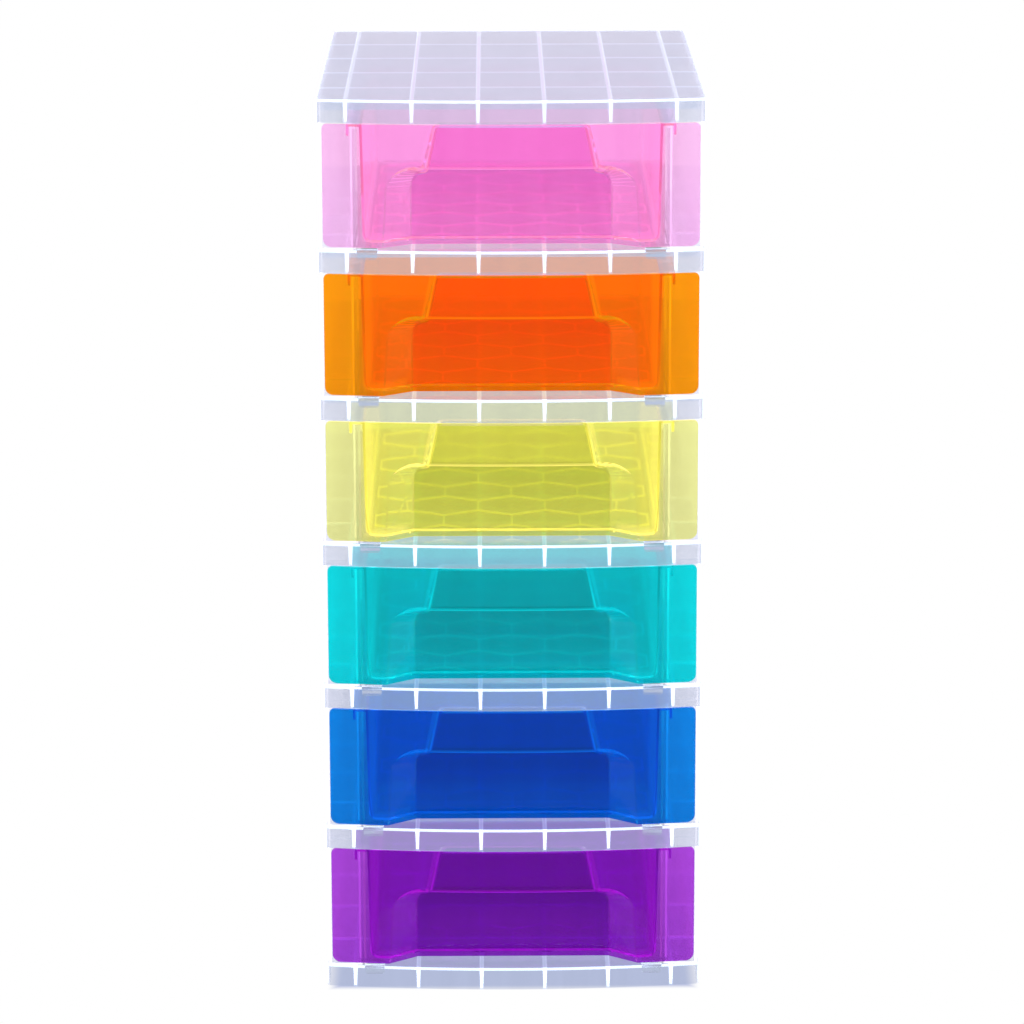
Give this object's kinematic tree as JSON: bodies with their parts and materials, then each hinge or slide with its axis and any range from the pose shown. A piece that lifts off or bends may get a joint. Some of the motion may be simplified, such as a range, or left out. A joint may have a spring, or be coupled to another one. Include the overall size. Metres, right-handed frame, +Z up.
{
  "type": "plastic drawer tower",
  "caption": "Free-standing tower of tinted translucent drawers that slide on rails inside a clear plastic frame, each with a finger pocket in its bowed front.",
  "frame": {"origin": "middle of the footprint's bounding box, on the surface that the tower stands on", "axes": "+Z up, the bowed front faces -Y, +X to the right seen from the back"},
  "size_m": [0.3, 0.395, 0.72],
  "materials": {
    "clear": "clear moulded polypropylene, faintly milky, smooth gloss",
    "pink_tint": "pink translucent moulded polypropylene, satin gloss",
    "orange_tint": "orange translucent moulded polypropylene, satin gloss",
    "yellow_tint": "lemon yellow translucent moulded polypropylene, satin gloss",
    "aqua_tint": "aqua translucent moulded polypropylene, satin gloss",
    "blue_tint": "blue translucent moulded polypropylene, satin gloss",
    "purple_tint": "purple translucent moulded polypropylene, satin gloss"
  },
  "bodies": {
    "frame": {"top_panel": "clear", "shelf_1": "clear", "shelf_2": "clear", "shelf_3": "clear", "shelf_4": "clear", "shelf_5": "clear", "base_panel": "clear", "left_side_panel_1": "clear", "left_side_panel_2": "clear", "left_side_panel_3": "clear", "left_side_panel_4": "clear", "left_side_panel_5": "clear", "left_side_panel_6": "clear", "right_side_panel_1": "clear", "right_side_panel_2": "clear", "right_side_panel_3": "clear", "right_side_panel_4": "clear", "right_side_panel_5": "clear", "right_side_panel_6": "clear", "back_panel_1": "clear", "back_panel_2": "clear", "back_panel_3": "clear", "back_panel_4": "clear", "back_panel_5": "clear", "back_panel_6": "clear"},
    "pink_drawer_body": {"pink_drawer": "pink_tint"},
    "orange_drawer_body": {"orange_drawer": "orange_tint"},
    "yellow_drawer_body": {"yellow_drawer": "yellow_tint"},
    "aqua_drawer_body": {"aqua_drawer": "aqua_tint"},
    "blue_drawer_body": {"blue_drawer": "blue_tint"},
    "purple_drawer_body": {"purple_drawer": "purple_tint"}
  },
  "joints": [
    {"name": "pink_drawer_slide", "type": "slide", "parent": "frame", "child": "pink_drawer_body", "axis": [0, -1, 0], "range_m": [0, 0.325]},
    {"name": "orange_drawer_slide", "type": "slide", "parent": "frame", "child": "orange_drawer_body", "axis": [0, -1, 0], "range_m": [0, 0.325]},
    {"name": "yellow_drawer_slide", "type": "slide", "parent": "frame", "child": "yellow_drawer_body", "axis": [0, -1, 0], "range_m": [0, 0.325]},
    {"name": "aqua_drawer_slide", "type": "slide", "parent": "frame", "child": "aqua_drawer_body", "axis": [0, -1, 0], "range_m": [0, 0.325]},
    {"name": "blue_drawer_slide", "type": "slide", "parent": "frame", "child": "blue_drawer_body", "axis": [0, -1, 0], "range_m": [0, 0.325]},
    {"name": "purple_drawer_slide", "type": "slide", "parent": "frame", "child": "purple_drawer_body", "axis": [0, -1, 0], "range_m": [0, 0.325]}
  ]
}
